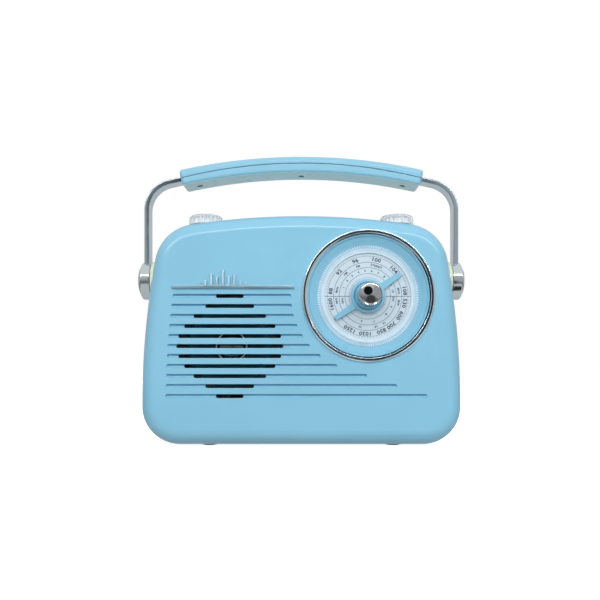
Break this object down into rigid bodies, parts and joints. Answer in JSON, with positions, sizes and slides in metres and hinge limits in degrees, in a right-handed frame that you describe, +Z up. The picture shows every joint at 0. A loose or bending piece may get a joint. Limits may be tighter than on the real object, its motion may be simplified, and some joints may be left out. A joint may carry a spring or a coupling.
{
  "type": "portable radio",
  "caption": "Retro portable radio with rounded case, slotted speaker face, large round tuning dial, top knobs, telescopic antenna and a swinging carrying handle.",
  "frame": {"origin": "on the ground under the middle of the whole object's box", "axes": "+X to the right seen from the front, the front faces -Y, +Z up"},
  "size_m": [0.2568, 0.095, 0.2242],
  "materials": {
    "blue_plastic": "satin-gloss moulded light blue plastic",
    "cream_plastic": "pale cream moulded plastic",
    "clear_plastic": "pale, slightly clear moulded plastic",
    "dial_print": "printed pale plate",
    "chrome": "bright plating",
    "steel": "plain steel",
    "black_plastic": "matt black plastic",
    "rubber": "matt rubber",
    "paper_cone": "black pressed paper",
    "board": "phenolic board",
    "ferrite": "dark grey ferrite",
    "copper": "enamelled copper wire",
    "battery_wrap": "printed sleeve on a metal can"
  },
  "bodies": {
    "case": {"front_cabinet": "blue_plastic", "back_cover": "blue_plastic", "dial_dish": "blue_plastic", "handle_boss_left": "cream_plastic", "handle_boss_right": "cream_plastic", "volume_collar": "cream_plastic", "band_collar": "cream_plastic", "dial_scale_ring": "clear_plastic", "tuning_capacitor": "clear_plastic", "dial_plate": "dial_print", "dial_ring": "chrome", "badge_bar": "chrome", "speaker_dust_cap": "chrome", "cover_screw_lower_left": "steel", "cover_screw_lower_right": "steel", "cover_screw_upper_left": "steel", "cover_screw_upper_right": "steel", "pivot_bolt_left": "steel", "pivot_bolt_right": "steel", "volume_control": "steel", "battery_spring": "steel", "if_transformer": "steel", "speaker_magnet": "steel", "speaker_basket": "black_plastic", "battery_box": "black_plastic", "rod_holder": "black_plastic", "amplifier_chip": "black_plastic", "headphone_jack": "black_plastic", "power_jack": "black_plastic", "foot_front_left": "rubber", "foot_front_right": "rubber", "foot_rear_left": "rubber", "foot_rear_right": "rubber", "speaker_cone": "paper_cone", "circuit_board": "board", "band_switch": "board", "ferrite_rod": "ferrite", "antenna_coil": "copper", "battery_left": "battery_wrap", "battery_right": "battery_wrap", "filter_capacitor": "battery_wrap"},
    "handle": {"grip_upper": "blue_plastic", "grip_lower": "blue_plastic", "grip_screw_left": "steel", "grip_screw_centre": "steel", "grip_screw_right": "steel", "handle_arm_left": "chrome", "handle_arm_right": "chrome", "pivot_cap_left": "chrome", "pivot_cap_right": "chrome"},
    "tuning": {"tuning_pointer": "blue_plastic", "tuning_knob": "chrome", "tuning_shaft": "steel"},
    "volume": {"volume_knob": "clear_plastic"},
    "band": {"band_knob": "clear_plastic"},
    "door": {"battery_door": "blue_plastic"},
    "antenna_base": {"antenna_swivel": "chrome"},
    "antenna_outer": {"antenna_outer_tube": "chrome"},
    "antenna_middle": {"antenna_middle_tube": "chrome"},
    "antenna_tip": {"antenna_tip_rod": "chrome"}
  },
  "joints": [
    {"name": "handle_swing", "type": "hinge", "parent": "case", "child": "handle", "pos_m": [0, 0.0085, 0.1272], "axis": [1, 0, 0], "range_deg": [-90, 90]},
    {"name": "tuning_turn", "type": "hinge", "parent": "case", "child": "tuning", "pos_m": [0.0496, 0, 0.1122], "axis": [0, -1, 0], "range_deg": [-26.5, 137.5]},
    {"name": "volume_turn", "type": "hinge", "parent": "case", "child": "volume", "pos_m": [0.076, 0.0085, 0.173], "axis": [0, 0, -1], "range_deg": [-150, 150]},
    {"name": "band_turn", "type": "hinge", "parent": "case", "child": "band", "pos_m": [-0.076, 0.0085, 0.173], "axis": [0, 0, -1], "range_deg": [-45, 45]},
    {"name": "door_off", "type": "slide", "parent": "case", "child": "door", "axis": [0, 1, 0], "range_m": [0, 0.03]},
    {"name": "antenna_swivel_turn", "type": "hinge", "parent": "case", "child": "antenna_base", "pos_m": [0.084, 0.0421, 0.1555], "axis": [0, 0, -1], "range_deg": [0, 180]},
    {"name": "antenna_tilt", "type": "hinge", "parent": "antenna_base", "child": "antenna_outer", "pos_m": [0.084, 0.0421, 0.1612], "axis": [0, 1, 0], "range_deg": [0, 95]},
    {"name": "antenna_middle_slide", "type": "slide", "parent": "antenna_outer", "child": "antenna_middle", "axis": [-1, 0, 0], "range_m": [0, 0.12]},
    {"name": "antenna_tip_slide", "type": "slide", "parent": "antenna_middle", "child": "antenna_tip", "axis": [-1, 0, 0], "range_m": [0, 0.12]}
  ]
}
